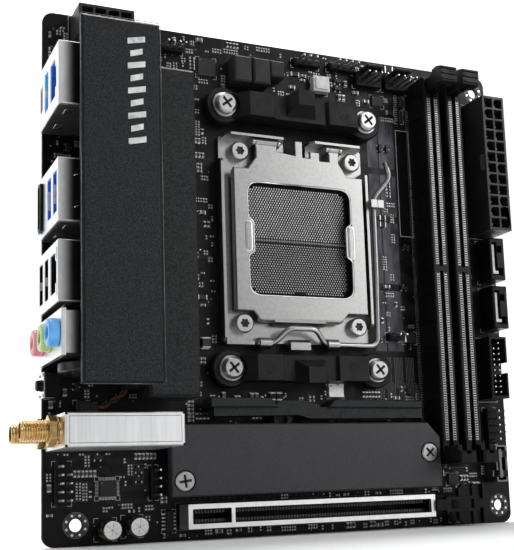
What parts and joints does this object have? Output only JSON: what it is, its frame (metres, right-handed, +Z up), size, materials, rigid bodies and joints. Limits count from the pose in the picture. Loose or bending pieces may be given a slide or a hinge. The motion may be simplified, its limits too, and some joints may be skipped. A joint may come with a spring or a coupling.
{
  "type": "motherboard",
  "caption": "Small square computer motherboard with an open processor socket, memory and expansion slots, rear ports, heatsinks and power headers.",
  "frame": {"origin": "midway between the two lower mounting holes, on the board's solder side", "axes": "+X from the rear port edge to the power connector edge, -Y out of the component side, +Z up the board from the expansion slot edge"},
  "size_m": [0.1807, 0.0382, 0.1701],
  "materials": {
    "board_laminate": "satin solder mask",
    "socket_plastic": "matte",
    "contact_field": "fine metal contacts on dark plastic",
    "pressed_steel": "satin nickel plate",
    "plated_steel": "bright nickel plate",
    "wire_steel": "polished",
    "backplate_steel": "satin black",
    "insulating_film": "matte film",
    "black_plastic": "moulded, fine texture",
    "header_plastic": "moulded",
    "black_anodised": "fine blasted, anodised black",
    "thermal_pad": "soft pad",
    "chip_resin": "moulded resin",
    "choke_body": "pressed powder",
    "tin_plate": "tin plate",
    "contact_metal": "gold flash",
    "shield_steel": "satin",
    "port_shell": "satin tin plate",
    "blue_plastic": "moulded",
    "jack_colours": "moulded in three colours",
    "can_metal": "brushed satin",
    "card_laminate": "solder mask",
    "gold_plate": "gold plate",
    "battery_sleeve": "shrink film",
    "lead_insulation": "flexible insulation",
    "white_plastic": "moulded",
    "capacitor_can": "printed sleeve with bare top"
  },
  "bodies": {
    "board": {"antenna_jacks": "gold_plate", "antenna_nuts": "gold_plate", "antenna_washers": "gold_plate", "audio_jack_body": "black_plastic", "audio_jack_plate": "port_shell", "audio_jack_sleeves": "jack_colours", "backplate": "backplate_steel", "backplate_sheet": "insulating_film", "battery": "battery_sleeve", "battery_lead": "lead_insulation", "battery_plug": "white_plastic", "capacitors": "capacitor_can", "card_sockets": "black_plastic", "chipset_heatsink": "black_anodised", "controller_chips": "chip_resin", "cooler_bracket_lower": "black_plastic", "cooler_bracket_screws": "plated_steel", "cooler_bracket_upper": "black_plastic", "cpu_power_header": "header_plastic", "display_port_bezel": "black_plastic", "expansion_slot": "black_plastic", "expansion_slot_shield": "shield_steel", "fan_headers": "black_plastic", "front_type_c_header": "shield_steel", "front_usb_header": "black_plastic", "header_pins": "tin_plate", "lan_port_shell": "port_shell", "m2_heatsink": "black_anodised", "m2_heatsink_screws": "plated_steel", "m2_standoffs": "gold_plate", "main_power_header": "header_plastic", "memory_slot_1": "black_plastic", "memory_slot_2": "black_plastic", "pcb": "board_laminate", "pin_header_bases": "black_plastic", "power_header_pins": "tin_plate", "rear_button_body": "pressed_steel", "rear_port_tongues": "blue_plastic", "sata_ports": "black_plastic", "slot_contacts": "contact_metal", "socket_contacts": "contact_field", "socket_frame": "pressed_steel", "socket_frame_screws": "plated_steel", "socket_housing": "socket_plastic", "usb_port_shell_middle": "port_shell", "usb_port_shell_upper": "port_shell", "vrm_chokes": "choke_body", "vrm_heatsink": "black_anodised", "vrm_heatsink_screws": "plated_steel", "vrm_power_stages": "chip_resin", "vrm_thermal_pads": "thermal_pad", "wifi_can": "can_metal", "wifi_card": "card_laminate"},
    "load_plate": {"load_plate": "plated_steel"},
    "socket_lever": {"socket_lever": "wire_steel"},
    "memory_latch_1": {"memory_latch_1": "black_plastic"},
    "memory_latch_2": {"memory_latch_2": "black_plastic"},
    "slot_latch": {"expansion_slot_latch": "black_plastic"},
    "button_plunger": {"rear_button_plunger": "black_plastic"}
  },
  "joints": [
    {"name": "load_plate_hinge", "type": "hinge", "parent": "board", "child": "load_plate", "pos_m": [-0.00053, -0.0063, 0.1261], "axis": [-1, 0, 0], "range_deg": [0, 110]},
    {"name": "socket_lever_hinge", "type": "hinge", "parent": "board", "child": "socket_lever", "pos_m": [-0.00053, -0.0053, 0.0568], "axis": [1, 0, 0], "range_deg": [0, 95]},
    {"name": "memory_latch_1_hinge", "type": "hinge", "parent": "board", "child": "memory_latch_1", "pos_m": [0.05087, -0.0062, 0.15225], "axis": [-1, 0, 0], "range_deg": [0, 28]},
    {"name": "memory_latch_2_hinge", "type": "hinge", "parent": "board", "child": "memory_latch_2", "pos_m": [0.06017, -0.0062, 0.15225], "axis": [-1, 0, 0], "range_deg": [0, 28]},
    {"name": "slot_latch_hinge", "type": "hinge", "parent": "board", "child": "slot_latch", "pos_m": [0.04697, -0.005, 0.00115], "axis": [0, 0, 1], "range_deg": [0, 14]},
    {"name": "button_slide", "type": "slide", "parent": "board", "child": "button_plunger", "axis": [1, 0, 0], "range_m": [0, 0.00025], "stiffness_N_per_m": 6000}
  ]
}
